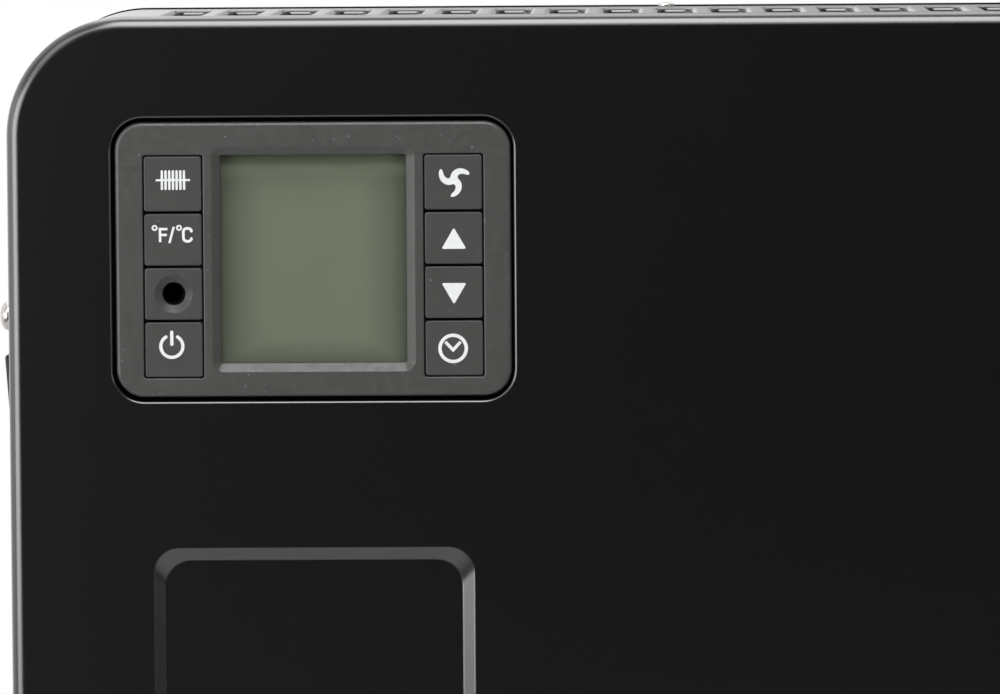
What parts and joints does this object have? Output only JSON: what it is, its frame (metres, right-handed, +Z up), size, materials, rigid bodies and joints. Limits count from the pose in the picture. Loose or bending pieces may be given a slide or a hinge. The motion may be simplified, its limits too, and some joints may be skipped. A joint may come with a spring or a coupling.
{
  "type": "convector heater",
  "caption": "Free-standing black sheet-steel convector heater on two feet with a slotted outlet in the top and a grey control panel with display and push keys.",
  "frame": {"origin": "on the floor below the middle of the body", "axes": "+X to the right seen from the front, +Y to the back, +Z up; the front faces -Y"},
  "size_m": [0.6382, 0.22, 0.435],
  "materials": {
    "black_steel": "satin powder coat",
    "galvanised_steel": "zinc coated",
    "bezel_plastic": "satin",
    "key_plastic": "fine matt",
    "clear_window": "clear",
    "display_glass": "grey-green",
    "white_plastic": "matt",
    "dark_lens": "gloss",
    "board": "lacquered",
    "cover_plastic": "matt",
    "switch_plastic": "satin",
    "element_metal": "bare",
    "ceramic": "ceramic",
    "shield_metal": "rolled",
    "phenolic": "moulded",
    "fan_plastic": "moulded",
    "motor_steel": "plated",
    "pendulum_brass": "plain",
    "fitting_plastic": "moulded",
    "foot_plastic": "moulded",
    "pad_rubber": "matt"
  },
  "bodies": {
    "heater": {"front_panel": "black_steel", "body_wrap": "black_steel", "rear_panel": "black_steel", "base_plate": "galvanised_steel", "left_upright": "galvanised_steel", "right_upright": "galvanised_steel", "top_rail": "galvanised_steel", "element_bracket_left": "galvanised_steel", "element_bracket_right": "galvanised_steel", "control_bezel": "bezel_plastic", "receiver_tile": "key_plastic", "display_window": "clear_window", "display_cell": "display_glass", "display_frame": "white_plastic", "remote_receiver": "dark_lens", "control_board": "board", "power_board": "board", "control_cover": "cover_plastic", "switch_housing": "switch_plastic", "cord_inlet": "switch_plastic", "heating_element": "element_metal", "element_bushes": "ceramic", "front_baffle": "shield_metal", "rear_baffle": "shield_metal", "thermal_cutout": "phenolic", "fan_shroud": "fan_plastic", "fan_motor": "motor_steel", "tip_switch_housing": "fitting_plastic", "power_board_posts": "fitting_plastic", "terminal_block": "fitting_plastic", "room_sensor": "fitting_plastic", "left_foot": "foot_plastic", "right_foot": "foot_plastic", "foot_pads": "pad_rubber"},
    "rocker": {"switch_rocker": "switch_plastic"},
    "impeller": {"fan_impeller": "fan_plastic"},
    "pendulum": {"tip_switch_pendulum": "pendulum_brass"},
    "key_heat": {"key_heat": "key_plastic"},
    "key_units": {"key_units": "key_plastic"},
    "key_power": {"key_power": "key_plastic"},
    "key_fan": {"key_fan": "key_plastic"},
    "key_up": {"key_up": "key_plastic"},
    "key_down": {"key_down": "key_plastic"},
    "key_timer": {"key_timer": "key_plastic"}
  },
  "joints": [
    {"name": "key_heat_press", "type": "slide", "parent": "heater", "child": "key_heat", "axis": [0, 1, 0], "range_m": [0, 0.0006], "stiffness_N_per_m": 400},
    {"name": "key_units_press", "type": "slide", "parent": "heater", "child": "key_units", "axis": [0, 1, 0], "range_m": [0, 0.0006], "stiffness_N_per_m": 400},
    {"name": "key_power_press", "type": "slide", "parent": "heater", "child": "key_power", "axis": [0, 1, 0], "range_m": [0, 0.0006], "stiffness_N_per_m": 400},
    {"name": "key_fan_press", "type": "slide", "parent": "heater", "child": "key_fan", "axis": [0, 1, 0], "range_m": [0, 0.0006], "stiffness_N_per_m": 400},
    {"name": "key_up_press", "type": "slide", "parent": "heater", "child": "key_up", "axis": [0, 1, 0], "range_m": [0, 0.0006], "stiffness_N_per_m": 400},
    {"name": "key_down_press", "type": "slide", "parent": "heater", "child": "key_down", "axis": [0, 1, 0], "range_m": [0, 0.0006], "stiffness_N_per_m": 400},
    {"name": "key_timer_press", "type": "slide", "parent": "heater", "child": "key_timer", "axis": [0, 1, 0], "range_m": [0, 0.0006], "stiffness_N_per_m": 400},
    {"name": "rocker_tilt", "type": "hinge", "parent": "heater", "child": "rocker", "pos_m": [-0.312, 0, 0.326], "axis": [0, 1, 0], "range_deg": [0, 16]},
    {"name": "impeller_spin", "type": "hinge", "parent": "heater", "child": "impeller", "pos_m": [0, 0, 0.0438], "axis": [0, 0, 1], "continuous": true},
    {"name": "pendulum_swing", "type": "hinge", "parent": "heater", "child": "pendulum", "pos_m": [-0.191, 0, 0.0646], "axis": [0, 1, 0], "range_deg": [-18, 18]}
  ]
}
